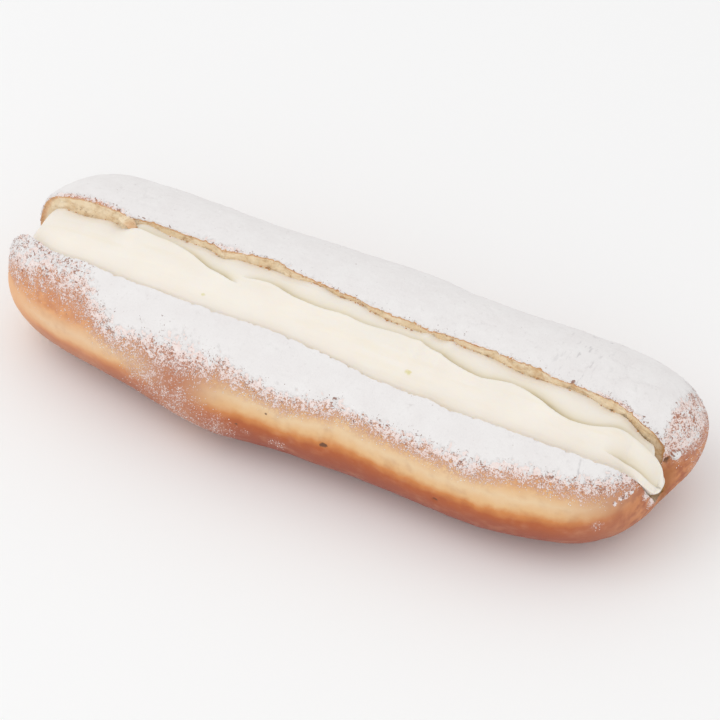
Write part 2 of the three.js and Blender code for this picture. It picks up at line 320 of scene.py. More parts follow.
# %% Run a tree of Geometry Nodes
def plain(made):
    """Turns an object with modifiers into one with the plain mesh that they give."""
    graph = bpy.context.evaluated_depsgraph_get()
    mesh = bpy.data.meshes.new_from_object(made.evaluated_get(graph))
    made.modifiers.clear()
    made.data = mesh
    return made


def modifier_tree(name, inputs):
    """An empty Geometry Nodes tree with a mesh going in and out, and named number inputs."""
    tree = bpy.data.node_groups.new(name, "GeometryNodeTree")
    tree.interface.new_socket("Geometry", in_out="INPUT", socket_type="NodeSocketGeometry")
    tree.interface.new_socket("Geometry", in_out="OUTPUT", socket_type="NodeSocketGeometry")
    for label, value in inputs.items():
        kind = "NodeSocketInt" if isinstance(value, int) else "NodeSocketFloat"
        tree.interface.new_socket(label, in_out="INPUT", socket_type=kind).default_value = value
    nodes = Nodes(tree)
    given = nodes.add("NodeGroupInput")
    return nodes, given


def run_tree(made, nodes, values):
    """Runs a tree on an object, with its inputs set by their sockets' identifiers."""
    modifier = made.modifiers.new("nodes", "NODES")
    modifier.node_group = nodes.tree
    for item in nodes.tree.interface.items_tree:
        if item.in_out == "INPUT" and item.name in values:
            modifier[item.identifier] = values[item.name]
    return plain(made)


# %% A tree that gives relief
def relief_tree(name, height, **inputs):
    """A tree that moves each point along its normal by height(nodes, given, place), in millimetres."""
    nodes, given = modifier_tree(name, inputs)
    place = nodes.scaled(nodes.add("GeometryNodeInputPosition"), 1 / MM)
    normal = nodes.add("GeometryNodeInputNormal")
    offset = nodes.scaled(normal, height(nodes, given, place) * MM)
    put = {"Geometry": given.other("Geometry"), "Offset": offset}
    moved = nodes.add("GeometryNodeSetPosition", None, put)
    nodes.add("NodeGroupOutput", None, {0: moved})
    return nodes


def spots(nodes, place, centres, longer=1.0, ragged=0.5):
    """1 at the middle of each spot and 0 outside them all, with a ragged edge.

    A spot is a centre and a radius in millimetres, and is that many times longer along the bun.
    """
    total = 0
    rim = nodes.noise(place, 0.8, 2) * ragged
    squeezed = nodes.stretched(place, (1 / longer, 1, 1))
    for x, y, z, radius in centres:
        ends = {0: squeezed, 1: (x / longer, y, z)}
        apart = nodes.add("ShaderNodeVectorMath", {"operation": "DISTANCE"}, ends, output="Value")
        total = (1 - (apart + rim).ramp(0.4 * radius, 1.3 * radius)) + total
    return total


# %% Relief of the crust
# Burst blisters in the fried skin: centre and radius in millimetres.
BLISTERS = [(9.1, -27.4, 16.4, 0.75), (-5.9, -27.2, 19.7, 0.35), (81.9, 0.95, 19.8, 1.1),
            (-46, -24.6, 9.5, 0.5), (-13, -28.5, 14.5, 0.45), (38, -28.2, 13.0, 0.5),
            (-20, 27.5, 17.0, 0.8), (34, 25.4, 20.5, 0.6)]
BLISTER_LENGTH, BLISTER_DEPTH = 1.6, 0.6


def crust_height(nodes, given, place):
    """Hand-shaped lumps, the ripples of the frying skin, a fine grain, and a few burst blisters."""
    lumps = nodes.noise(place, 17, 1) * given.other("Lumps")
    ripples = nodes.noise(place, 4.5, 2) * given.other("Ripples")
    grain = nodes.noise(place, 1.3, 1) * given.other("Grain")
    relief = lumps + ripples + grain + given.other("Offset")
    return relief - spots(nodes, place, BLISTERS, BLISTER_LENGTH) * BLISTER_DEPTH


CRUST_RELIEF = {"Lumps": 0.55, "Ripples": 0.16, "Grain": 0.05}
crust_tree = relief_tree("crust_relief", crust_height, Offset=0.0, **CRUST_RELIEF)
print("crust relief:", len(crust_tree.tree.nodes), "nodes")


# %% Give it to the crust and keep the base flat
def mesh_points(made):
    """The points of a mesh, in millimetres."""
    flat = np.empty(len(made.data.vertices) * 3)
    made.data.vertices.foreach_get("co", flat)
    return flat.reshape(-1, 3) / MM


def settle(made):
    """Keeps every point at or over the base."""
    points = mesh_points(made)
    points[:, 2] = np.maximum(points[:, 2], 0)
    made.data.vertices.foreach_set("co", (points * MM).ravel())
    made.data.update()


run_tree(crust_skin, crust_tree, {"Offset": 0.0})
settle(crust_skin)
print("crust with relief: z from", mesh_points(crust_skin)[:, 2].min().round(2), "mm")

# %% [markdown]
# ## The slit
#
# A knife and the opening of the bun take away a wedge. The knife tears the soft crumb, so the two
# faces are rough and full of pores. Pushing the points of a finished slit about would tear the mesh
# at the lips. So the wedge gets that roughness on its own faces first, and is then subtracted from
# the bun, which keeps the whole bun shut.

# %% Sizes of the slit
# The slit's bottom, how it rises and widens at the end that shows, and each lip's waves across the bun.
ROOT_HEIGHT, ROOT_ACROSS, ROOT_WIDTH = 8, -2.7, 2
ROOT_RISES, ROOT_WIDENS = [(90.6, 12, 5.5)], [(84, 4, 3.2)]
TALL_LIP = {"height": 35, "middle": 2.1, "swing": 1.3, "at": -3.4, "over": 9,
            "bends": [(-86.4, 7, 1.9), (-58, 5, -0.5), (-21, 5, 0.9), (2, 5, 0.8), (56, 4, -0.6),
                      (78, 5, -1.9), (85, 3, 4.5)]}
LOW_LIP = {"height": 31, "middle": -15, "swing": 2.3, "at": 12.6, "over": 20,
           "bends": [(-86, 4, -3.5), (-86.4, 10, 5.3), (-65.4, 12, 0.8), (-26, 6, -0.4), (18, 9, -0.7),
                     (76.6, 9, 0.8), (85, 3, -5)]}
# How high the wedge goes, how far past the bun's ends, and how its net gathers towards the lips.
SLIT_TOP, SLIT_OVERRUN, SLIT_GATHER = 42, 8, 0.62

# Crumb left standing out of the tall face: place along, width, height, width, how far.
TORN_BULGES = [(-58.8, 1.5, 32.2, 2.4, 2.4), (-33, 2.0, 34, 1.8, 1.5), (22, 1.5, 34.5, 1.5, 0.6)]
print("slit:", LOW_LIP["height"] - ROOT_HEIGHT, "mm deep by the low lip")


# %% The faces of the slit
def root_height(x):
    """Height of the slit's bottom over the base."""
    return ROOT_HEIGHT + bumps(x, ROOT_RISES)


def lip_across(x, lip):
    """Where a lip of the slit lies across the bun, at places x along it."""
    return lip["middle"] - lip["swing"] * np.tanh((x - lip["at"]) / lip["over"]) + bumps(x, lip["bends"])


def slit_face(x, z, lip, side):
    """Where a face of the slit lies across the bun; side is 1 for the tall half, -1 for the low one."""
    root, low_end = ROOT_ACROSS + side * (ROOT_WIDTH + bumps(x, ROOT_WIDENS)) / 2, root_height(x)
    return lerp(root, lip_across(x, lip), (z - low_end) / (lip["height"] - low_end))


def slit_wedge(name, along, up):
    """The wedge as a shut mesh, its net gathered towards the lips, where it shows."""
    x = np.linspace(BUN_LEFT - SLIT_OVERRUN, BUN_RIGHT + SLIT_OVERRUN, along)[:, None]
    z = lerp(root_height(x), SLIT_TOP, np.linspace(0, 1, up)[None, :] ** SLIT_GATHER)
    bulges = sum(out * np.exp(-(((x - at) / wide) ** 2) - ((z - high) / tall) ** 2)
                 for at, wide, high, tall, out in TORN_BULGES)
    tall = np.stack(np.broadcast_arrays(x, slit_face(x, z, TALL_LIP, 1) - bulges, z), axis=-1)
    low = np.stack(np.broadcast_arrays(x, slit_face(x, z, LOW_LIP, -1), z), axis=-1)
    rings = np.concatenate((tall, low[:, ::-1]), axis=1)
    caps = [np.broadcast_to(end.mean(axis=0), end.shape)[None] for end in (rings[0], rings[-1])]
    return closed_loft(name, np.concatenate((caps[0], rings, caps[1])))


# %% The wedge, with torn crumb on its faces
WEDGE_ALONG, WEDGE_UP = 450, 62


def crumb_height(nodes, given, place):
    """Torn crumb: broad tears, open pores and a fine roughness. A positive height digs into the bun."""
    tears = (nodes.noise(place, 7, 1) + nodes.noise(place, 2.6, 2) * 0.8) * given.other("Tears")
    pores = (0.42 - nodes.cells(place, 1.5)).above(0) + (0.35 - nodes.cells(place, 0.9)).above(0) * 0.5
    roughness = nodes.noise(place, 0.8, 2) * given.other("Roughness")
    return tears + pores * given.other("Pores") + roughness + given.other("Offset")


wedge = slit_wedge("wedge", WEDGE_ALONG, WEDGE_UP)
crumb_tree = relief_tree("crumb_relief", crumb_height, Tears=0.5, Pores=1.4, Roughness=0.22, Offset=0.0)
run_tree(wedge, crumb_tree, {"Offset": 0.0})
print("wedge:", len(wedge.data.polygons), "faces")


# %% Cut the slit
CRUST_FACE, CRUMB_FACE = 0, 1


def carve(made, cutter):
    """Takes one shut mesh out of another, by the solver for shut meshes, which keeps the rest shut."""
    modifier = made.modifiers.new("carve", "BOOLEAN")
    modifier.operation, modifier.solver, modifier.object = "DIFFERENCE", "MANIFOLD", cutter
    return plain(made)


def give_materials(made, *materials):
    """Fills a mesh's material slots with these and nothing else."""
    made.data.materials.clear()
    for material in materials:
        made.data.materials.append(material)


def mark_faces(made, slot_index):
    """Gives every face one of the bun's two materials. The boolean keeps each face's own."""
    give_materials(made, crust_material, crumb_material)
    made.data.polygons.foreach_set("material_index", [slot_index] * len(made.data.polygons))


crust_material = bpy.data.materials.new("fried_crust")
crumb_material = bpy.data.materials.new("torn_crumb")
bun = into_scene("fried_bun", crust_skin.data.copy())
mark_faces(bun, CRUST_FACE)
mark_faces(wedge, CRUMB_FACE)
carve(bun, wedge)
print("bun:", len(bun.data.polygons), "faces,", triangles(bun), "triangles")

# %% [markdown]
# ## Icing sugar
#
# Sugar fell on the bun from above. On top it lies as a closed coat a few tenths of a millimetre
# thick. Down the sides it thins into islands and single grains until bare crust shows. White paint on
# the crust would look flat, and grains alone would need millions. So how much fell where is one
# smooth field, used three times: for the thickness of a coat that is a mesh of its own, for the
# scattered grains, and for the finest specks in the crust's colour.

# %% Where the sugar lies
# For the low half (-1) and the tall half (1): a middle value, and changes along the bun. The edge of
# the coat and the width of its speckled border are in degrees over the horizontal.
SUGAR_EDGE = {
    -1: (9.5, [(-66, 12, 14), (-50, 9, -6), (-36, 6, -1.5), (-19, 6, 2.5), (-3, 5, -2.2), (12, 6, 1.8),
               (43, 7, -1.4), (58, 6, 2.5), (70, 6, 2), (88, 5, 18)]),
    1: (8.0, [(-90, 12, 10), (-30, 12, 3), (20, 10, -3), (86, 6, -2)]),
}
SUGAR_SOFTNESS = {
    -1: (15.0, [(-68, 15, 38), (-34, 12, 16), (76, 8, 9)]),
    1: (15.0, [(-88, 20, 20), (85, 8, 16)]),
}
# Towards one end each half lost some sugar: from one place along the bun to another, and what is left.
THIN_ENDS = {-1: (-44, -72, 0.78), 1: (78, 82, 0.66)}
# Sugar rubbed off the tall half's lip.
LIP_WEAR, LIP_WEAR_WIDTH = (0.3, [(-71, 9, 0.45), (-33, 6, 0.15), (72, 10, 0.2)]), 1.5
# Lumps of sugar: centre and radius.
SUGAR_LUMPS = [(83, 2.5, 20.8, 1.3), (60, 8, 35.5, 0.8), (66, 5.5, 34.3, 0.6), (77.2, -17.7, 20.2, 0.1),
               (78, -16.2, 20.6, 0.1), (78.8, -15, 21, 0.15), (79.6, -13.6, 21.4, 0.1)]
LUMP_HEIGHT = 0.5
# How much the powder cracked.
CRACKED = {-1: (0.0, [(73, 6, 1.0)]), 1: (0.0, [(57, 6, 0.5)])}

# Sugar that fell off again and stuck low down: centre, how far round it, how much.
STRAY_SUGAR = [(-38, -25.5, 18, 20, 0.38), (-29, -27, 14, 22, 0.37), (-19, -27.5, 11, 15, 0.34),
               (-10.8, -28.2, 12.4, 4, 0.32), (-3, -27.2, 11, 6, 0.36), (74.5, -21, 15, 4, 0.4),
               (84.5, 9, 16, 9, 0.35), (81.5, -8.5, 18.5, 4, 0.95), (82, -6.8, 14.5, 4, 0.8),
               (-30, 26, 9, 9, 0.4), (40, 27, 12, 6, 0.35)]
# The cover of bare crust, the most there is, a closed coat, a lump, an unworn lip, a burst blister.
NO_COVER, MOST_COVER, FULL_COVER, LUMP_COVER, LIP_COVER, BLISTER_COVER = -1, 2, 1.3, 2.2, 1.2, -0.8
# How many radii round a blister stay bare, and how much of each end slopes towards its tip.
BLISTER_REACH, END_CAP = 1.4, 20
print("sugar:", len(SUGAR_LUMPS), "lumps,", len(STRAY_SUGAR), "stray patches")


# %% The sugar as a function
def side_and_angle(points):
    """Which half a point is on (-1 low, 1 tall), and its angle over the horizontal in degrees."""
    half_length = (BUN_RIGHT - BUN_LEFT) / 2
    into_end = np.maximum(np.abs(points[:, 0] - BUN_LEFT - half_length) - half_length + END_CAP, 0)
    outward = np.hypot(points[:, 1] - AXIS_ACROSS, into_end)
    side = np.where(points[:, 1] > slit_face(points[:, 0], points[:, 2], TALL_LIP, 1) - 1, 1, -1)
    return side, np.degrees(np.arctan2(points[:, 2] - AXIS_HEIGHT, outward))


def along_the_bun(x, side, sizes):
    """A size given for each half as a middle value and changes along the bun."""
    values = {half: middle + bumps(x, changes) for half, (middle, changes) in sizes.items()}
    return np.where(side > 0, values[1], values[-1])


def nearness(points, centre, reach):
    """1 at a centre, and falling softly to nothing past its reach."""
    return np.exp(-((np.linalg.norm(points - centre, axis=1) / reach) ** 2))


def sugar_cover(points):
    """How much sugar fell: 1 is a closed coat, 0 none, 0.5 the middle of the speckled edge."""
    side, angle = side_and_angle(points)
    x = points[:, 0]
    edge = along_the_bun(x, side, SUGAR_EDGE)
    softness = along_the_bun(x, side, SUGAR_SOFTNESS)
    cover = np.clip(0.5 + (angle - edge) / softness, NO_COVER, MOST_COVER)
    for half, (start, end, least) in THIN_ENDS.items():
        most = lerp(FULL_COVER, least, smoothstep((x - start) / (end - start), 0, 1))
        cover = np.where((side == half) & (most < FULL_COVER), np.minimum(cover, most), cover)
    from_lip = np.abs(points[:, 1] - slit_face(x, points[:, 2], TALL_LIP, 1))
    worn = (LIP_WEAR[0] + bumps(x, LIP_WEAR[1])) * np.exp(-((from_lip / LIP_WEAR_WIDTH) ** 2))
    cover = np.minimum(cover, LIP_COVER - worn)
    for *centre, reach, amount in STRAY_SUGAR:
        cover = np.maximum(cover, lerp(NO_COVER, amount, nearness(points, centre, reach)))
    for *centre, radius in SUGAR_LUMPS:
        cover = np.maximum(cover, lerp(NO_COVER, LUMP_COVER, nearness(points, centre, radius + LUMP_HEIGHT)))
    for *centre, radius in BLISTERS:
        near = nearness(points, centre, BLISTER_REACH * radius)
        cover = np.minimum(cover, lerp(MOST_COVER, BLISTER_COVER, near))
    return cover


def store(made, name, values):
    """Keeps one number for each point of a mesh, for the nodes to read by name."""
    layer = made.data.attributes.get(name) or made.data.attributes.new(name, "FLOAT", "POINT")
    layer.data.foreach_set("value", np.asarray(values, dtype=np.float32))


# %% A net for the coat
# The net is fine from a little under one side over the top to the other, and coarse underneath.
COAT_STATIONS, COAT_AROUND, HIDDEN_AROUND, COAT_BELOW = 470, 250, 24, 0.3
coat_angles = np.concatenate((
    np.linspace(-COAT_BELOW, np.pi + COAT_BELOW, COAT_AROUND, endpoint=False),
    np.linspace(np.pi + COAT_BELOW, 2 * np.pi - COAT_BELOW, HIDDEN_AROUND, endpoint=False),
))
coat = crust_loft("icing_sugar", COAT_STATIONS, coat_angles)
coat_points = mesh_points(coat)
store(coat, "sugar", sugar_cover(coat_points))
store(coat, "cracked", along_the_bun(coat_points[:, 0], side_and_angle(coat_points)[0], CRACKED))
print("coat net:", len(coat.data.polygons), "faces")


# %% The coat's thickness
def read_named(nodes, name):
    """A number stored on the mesh's points, in a Geometry Nodes tree."""
    return nodes.add("GeometryNodeInputNamedAttribute", {"data_type": "FLOAT"}, {"Name": name})


def crack_field(nodes, place):
    """Short cracks across the bun, where the powder slid a little."""
    return nodes.noise(nodes.stretched(place, (1, 0.3, 0.3)), 1.1, 3).ramp(0.15, 0.4)


def coat_height(nodes, given, place):
    """The crust's own relief, and on it the sugar: thick on top, in islands at the edge, else sunk."""
    fallen = read_named(nodes, "sugar")
    tongues = nodes.noise(place, 9, 1) * 0.12 + nodes.noise(place, 4, 1) * 0.1
    islands = nodes.noise(place, 1.6, 2) * 0.4 + nodes.noise(place, 0.8, 0) * 0.3
    laid = (fallen + tongues + islands * (1 - fallen.ramp(0.9, 1.6) * 0.92)).ramp(0.6, 0.84)
    clumps = (0.5 - nodes.cells(place, 2.2)).above(0) * nodes.noise(place, 8, 1).ramp(-0.2, 0.5)
    powder = nodes.noise(place, 3.5, 2) * 0.15 + nodes.noise(place, 1.1, 2) * 0.12 + clumps * 0.35
    seams = (0.045 - nodes.cells(place, 6, "DISTANCE_TO_EDGE")).above(0)
    flakes = seams * nodes.noise(place, 15, 1).ramp(0.05, 0.4)
    cracks = crack_field(nodes, place) * read_named(nodes, "cracked")
    lump = spots(nodes, place, SUGAR_LUMPS) * LUMP_HEIGHT
    thickness = given.other("Thickness") + powder - flakes * 5 - cracks * 0.3 + lump + given.other("Sunk")
    return crust_height(nodes, given, place) + laid * thickness - given.other("Sunk")


coat_tree = relief_tree("coat_relief", coat_height, Offset=0.0, Thickness=0.28, Sunk=0.4, **CRUST_RELIEF)
run_tree(coat, coat_tree, {"Offset": 0.0})
print("coat relief:", len(coat_tree.tree.nodes), "nodes")

# %% Hollow the coat and cut the slit through it
# A slightly smaller bun is taken out of the coat, so a shell is left whose bare parts lie in the crust.
UNDER_STATIONS, UNDER_AROUND, UNDER_OFFSET = 190, 140, -0.3
WIDE_WEDGE_OFFSET = 0.02
under = crust_loft("under_coat", UNDER_STATIONS, np.linspace(0, 2 * np.pi, UNDER_AROUND, endpoint=False))
run_tree(under, crust_tree, {"Offset": UNDER_OFFSET})
carve(coat, under)
wide_wedge = slit_wedge("wide_wedge", WEDGE_ALONG, WEDGE_UP)
run_tree(wide_wedge, crumb_tree, {"Offset": WIDE_WEDGE_OFFSET})
carve(coat, wide_wedge)
store(coat, "bare", 1 - sugar_cover(mesh_points(coat)))
for helper in (under, wide_wedge, wedge):
    bpy.data.objects.remove(helper)
print("coat:", triangles(coat), "triangles")

# %% [markdown]
# ## Whipped cream
#
# The cream was piped in one long broad ridge with a narrower one behind it, where the nozzle went
# back. Each ridge ends in a rounded lip that folds over the next, which makes the creases. Sculpting
# could give these folds, and a rule gives them the same each time. So the section of the cream
# between the slit's faces is worked out from the lips and the creases, on a finer net than the
# solid's, and the net meets the crumb wherever the crumb goes.

# %% Sizes of the cream
CREAM_LEFT, CREAM_RIGHT = -82, 84.6
# How far the cream reaches into the crumb on each side.
CLING = 0.15
# Rise over the lips, how far under the low lip it starts, and how square the arch between them is.
CREAM_CROWN, CREAM_TUCK, CREAM_ARCH = 3.2, 1.2, 2.2
# Share of a section's points that lie on its top, and how far along the half length the crust is
# still high enough to measure the cream from.
CREAM_TOP_SHARE, LAST_FULL_SECTION = 0.6, 0.9
# How much crumb shows over the cream on the tall half's face, and how that changes along the bun.
CRUMB_SHOWN, LEAST_CRUMB = 2.0, 0.2
CRUMB_CHANGES = [(-71, 9, 2.5), (-78, 3, -0.6), (-60, 3, 1.2), (-54.5, 3.5, -1.1), (-33.5, 3, 0.9),
                 (-22, 6, 0.7), (-8, 5, -1.2), (4, 5, -0.7), (22, 1.5, -0.8), (28, 1.5, -0.7),
                 (46, 6, 1.1), (57, 3.5, -0.5), (67.5, 3.5, 0.9), (80, 3.5, 1.2)]
print("cream:", CREAM_RIGHT - CREAM_LEFT, "mm long")

# %% Sizes of its ends and creases
# Where each end of the cream closes to, across and up, how blunt it is by the low and tall half, and how
# far the roll by the tall half stops short of the end.
CREAM_ENDS = {
    "left": {"across": -3, "height": 22, "low": 36, "tall": 34, "roundness": 2.3, "recess": 0},
    "right": {"across": -8.5, "height": 20, "low": 22, "tall": 20, "roundness": 2.0, "recess": 3.8},
}
# Between which shares across it the bluntness and that recess change, and how late the recess sets in.
BLUNT_FROM, BLUNT_TO = 0.05, 0.6
RECESS_FROM, RECESS_TO, RECESS_ONSET = 0.52, 0.78, 10
# Where the cream's top sags, and where its bottom rises over the slit's.
CREAM_SAGS, FLOOR_RISES = [(-84, 6, 4)], [(90, 12, 6)]

# Creases: depth, deeper swells, and places along the bun with the share across (1 is the tall half's lip).
CREASES = [
    (1.8, [], [(-58, 0.77), (-48, 0.77), (-25, 0.47)]),
    (1.1, [(-14, 5, 0.8), (30, 8, 0.8), (55, 6, 1.1), (75, 5, 0.6)],
     [(-25, 0.6), (-18, 0.63), (-9, 0.52), (4, 0.59), (17, 0.73), (38, 0.5), (46, 0.62), (62, 0.39),
      (78, 0.66), (86, 0.54)]),
    (0.9, [], [(71, 0.18), (87, 0.1)]),
]
# A crease has a raised lip, drops over a short step and comes up again behind it, though not all the way.
CREASE_LIP, CREASE_LIP_WIDTH, CREASE_STEEP, CREASE_RECOVERY, CREASE_STEP = 0.3, 2.2, 0.22, 1.1, 0.12
CREASE_MARGIN, CREASE_FADE, DEEPEST_CREASE = 0.08, 4, 1.6
# How far from the tall half's crumb the cream still catches crumbs.
SHORE_WIDTH = 0.8
print("creases:", len(CREASES), "up to", max(depth for depth, _, _ in CREASES), "mm deep before they swell")


# %% The creases as a function
HALVINGS = 24


def crust_top(t, y):
    """Height of the crust over a place across, found by halving the angle round the section."""
    back, front = np.full_like(y, np.pi / 4), np.full_like(y, np.pi)
    for _ in range(HALVINGS):
        middle = (back + front) / 2
        beyond = crust(t, middle)[..., 1] > y
        back, front = np.where(beyond, middle, back), np.where(beyond, front, middle)
    return crust(t, back)[..., 2]


def crease_place(x, path):
    """Where a crease lies across the cream, easing from each place of its path to the next."""
    place = path[0][1]
    for (start, s_start), (end, s_end) in zip(path, path[1:]):
        place = np.where(x > start, lerp(s_start, s_end, smoothstep(x, start, end)), place)
    return place


def crease_relief(x, s, width):
    """Height that the creases add, and how deep in a crease each place is, 0 to 1, which sets the painted
    crease shade.
    """
    relief = np.zeros(np.broadcast(x, s).shape)
    crease_shade = np.zeros_like(relief)
    for depth, swells, path in CREASES:
        fade = np.clip(np.minimum(x - path[0][0], path[-1][0] - x) / CREASE_FADE, 0, 1)
        strength = (depth + bumps(x, swells)) * fade
        behind = (s - crease_place(x, path)) * width
        step = smoothstep(behind, -CREASE_STEEP, CREASE_STEEP)
        dive = np.exp(-np.maximum(behind, 0) / CREASE_RECOVERY)
        behind_step = CREASE_STEP * np.exp(-np.maximum(behind, 0) / (4 * CREASE_RECOVERY))
        lip = np.exp(np.minimum(behind, 0) / CREASE_LIP_WIDTH)
        relief += strength * (CREASE_LIP * (1 - step) * lip - step * (dive + behind_step))
        crease_shade = np.maximum(crease_shade, strength * step * dive / DEEPEST_CREASE)
    return relief, crease_shade


# %% Sections of the cream
def cream_rings(x, around):
    """Closed sections of the cream at places x: over the ridges, then down and up the slit's faces.

    Also gives back, for each point, how near the tall half it is, how deep in a crease, which sets
    the painted crease shade, and how near the tall half's crumb on top, each from 0 to 1.
    """
    share = np.clip(2 * (x - BUN_LEFT) / (BUN_RIGHT - BUN_LEFT) - 1, -LAST_FULL_SECTION, LAST_FULL_SECTION)
    shown = np.maximum(CRUMB_SHOWN + bumps(x, CRUMB_CHANGES), LEAST_CRUMB)
    high_z = crust_top(share, lip_across(x, TALL_LIP)) - shown
    low_z = crust_top(share, lip_across(x, LOW_LIP)) - CREAM_TUCK
    high_y = slit_face(x, high_z, TALL_LIP, 1) + CLING
    low_y = slit_face(x, low_z, LOW_LIP, -1) - CLING

    top_count = int(around * CREAM_TOP_SHARE)
    side_count = (around - top_count) // 2
    s = 1 - np.linspace(0, 1, top_count, endpoint=False)[None, :]
    column = [value[:, None] for value in (x, high_y, low_y, high_z, low_z)]
    along, y_high, y_low, z_high, z_low = column
    arch = 1 - np.abs(2 * s - 1) ** CREAM_ARCH
    edge = smoothstep(np.minimum(s, 1 - s), 0, CREASE_MARGIN)
    creased, crease_shade = crease_relief(along, s, y_high - y_low)
    sag = bumps(along, CREAM_SAGS) * np.sin(np.pi * s)
    top_z = lerp(z_low, z_high, s) + CREAM_CROWN * arch + creased * edge - sag
    top = np.stack((along + 0 * s, lerp(y_low, y_high, s), top_z), axis=-1)

    v = np.linspace(0, 1, side_count, endpoint=False)[None, :]
    root = root_height(along) + bumps(along, FLOOR_RISES)
    down_z, up_z = lerp(z_low, root, v), lerp(root, z_high, v)
    down = np.stack((along + 0 * v, slit_face(along, down_z, LOW_LIP, -1) - CLING, down_z), axis=-1)
    up = np.stack((along + 0 * v, slit_face(along, up_z, TALL_LIP, 1) + CLING, up_z), axis=-1)
    tallness = np.concatenate((s, v / 2, (1 + v) / 2), axis=1)
    shore = np.exp(-(((1 - s) * (y_high - y_low) / SHORE_WIDTH) ** 2))
    hidden = np.zeros((len(x), 2 * side_count))
    crease_shade, shore = (np.concatenate((field, hidden), axis=1) for field in (crease_shade * edge, shore))
    return np.concatenate((top, down, up), axis=1), tallness, crease_shade, shore


# %% The cream's mesh
def cream_loft(name, stations, around):
    """The cream as a shut mesh, its sections drawn together at both ends, denser towards the ends."""
    t = np.sin(np.linspace(-np.pi / 2, np.pi / 2, stations))
    t = lerp(t, np.linspace(-1, 1, stations), 0.5 * (1 - t**8))
    x = lerp(CREAM_LEFT, CREAM_RIGHT, (t + 1) / 2)
    rings, tallness, crease_shade, shore = cream_rings(x, around)
    left, right = CREAM_ENDS["left"], CREAM_ENDS["right"]
    end = {key: np.where(t < 0, left[key], right[key])[:, None] for key in left}
    blunt = lerp(end["low"], end["tall"], smoothstep(tallness, BLUNT_FROM, BLUNT_TO))
    closing = end_closing(t[:, None], blunt, end["roundness"])
    rings[..., 1] = lerp(end["across"], rings[..., 1], closing)
    rings[..., 2] = lerp(end["height"], rings[..., 2], closing)
    shorter = end["recess"] * smoothstep(tallness, RECESS_FROM, RECESS_TO)
    shorter = shorter * np.abs(t[:, None]) ** RECESS_ONSET
    rings[..., 0] -= np.sign(t)[:, None] * shorter
    made = closed_loft(name, rings)
    for field_name, field in (("crease", crease_shade), ("shore", shore)):
        store(made, field_name, np.concatenate((field[0, :1], field[1:-1].ravel(), field[-1, :1])))
    return made


def cream_height(nodes, given, place):
    """Soft swells along the ridges and the faint drag lines of the nozzle."""
    swells = nodes.noise(nodes.stretched(place, (0.35, 1, 1)), 5, 1) * given.other("Swells")
    drag = nodes.noise(nodes.stretched(place, (0.08, 1, 1)), 0.9, 1) * given.other("Drag")
    return swells + drag


CREAM_STATIONS, CREAM_AROUND = 440, 170
cream = cream_loft("whipped_cream", CREAM_STATIONS, CREAM_AROUND)
cream_tree = relief_tree("cream_relief", cream_height, Swells=0.22, Drag=0.03)
run_tree(cream, cream_tree, {})
print("cream:", triangles(cream), "triangles")

# %% [markdown]
# ## How deep each point of the crumb lies
#
# Just under the crust the crumb is browned and tight, and deeper in it is pale. The nearest point of
# the uncut crust tells how deep each point of the bun lies, so the crumb's colour can follow that.

# %% Sizes of the fry line
# For the low half and the tall half: the pale band's place in degrees over the horizontal, and how
# much of it was lost to browning.
BAND_PLACE = {-1: (1.8, [(-75, 32, -7), (-18, 10, 3.5), (13, 10, 2.5)]), 1: (1.0, [(-60, 30, -3)])}
BAND_LOST = {-1: (0.0, [(-30, 10, 1.0), (85, 12, 0.95)]), 1: (0.0, [(30, 14, 0.5), (90, 18, 0.95)])}
# Below the cream's end the crust in the notch beside the slit gets a painted shadow: where that sets
# in along the bun, where it sets in downwards, and how wide it is.
NOTCH_SHADOW_ALONG, NOTCH_SHADOW_DOWN, NOTCH_SHADOW_WIDTH = (79, 82), (20, 16), 1.8
print("pale band:", BAND_PLACE[-1][0], "and", BAND_PLACE[1][0], "degrees up the low and the tall half")

# %% Depth under the crust
tree_of_skin = BVHTree.FromObject(crust_skin, bpy.context.evaluated_depsgraph_get())
bun_points = mesh_points(bun)
depth = np.zeros(len(bun_points))
crumb_faces = [face for face in bun.data.polygons if face.material_index == CRUMB_FACE]
for index in {index for face in crumb_faces for index in face.vertices}:
    depth[index] = tree_of_skin.find_nearest(bun.data.vertices[index].co)[3] / MM
bpy.data.objects.remove(crust_skin)
print("crumb is up to", depth.max().round(1), "mm under the crust")

# %% Sugar, fry line and painted notch shadow, point by point
side, angle = side_and_angle(bun_points)
store(bun, "depth", depth)
store(bun, "sugar", sugar_cover(bun_points))
store(bun, "band", angle - along_the_bun(bun_points[:, 0], side, BAND_PLACE))
store(bun, "band_lost", along_the_bun(bun_points[:, 0], side, BAND_LOST))
x, y, z = bun_points.T
tall_face, low_face = slit_face(x, z, TALL_LIP, 1), slit_face(x, z, LOW_LIP, -1)
store(bun, "dusted", y < (tall_face + low_face) / 2)
past_the_end = smoothstep(x, *NOTCH_SHADOW_ALONG) * smoothstep(z, *NOTCH_SHADOW_DOWN)
# A painted shadow on the crust in the notch beside the tall face, below the cream's right end.
store(bun, "scorched", past_the_end * np.exp(-(((y - tall_face) / NOTCH_SHADOW_WIDTH) ** 2)))
stored = sorted(layer.name for layer in bun.data.attributes if layer.data_type == "FLOAT")
print("the bun's points carry:", stored)

# %% [markdown]
# ## Loose grains and crumbs
#
# The last of the sugar is single grains on bare crust, and the knife left crumbs along the lips.
# Thousands of them are too many to place by hand. Both are small lumps scattered by Geometry Nodes
# over the bun's own surface, more where a stored field says so, each turned and sized at random from
# a fixed seed, so that every run gives the same ones.

# %% Scatter by Geometry Nodes
FULL_TURN, SIZE_SEED = 6.28, 7


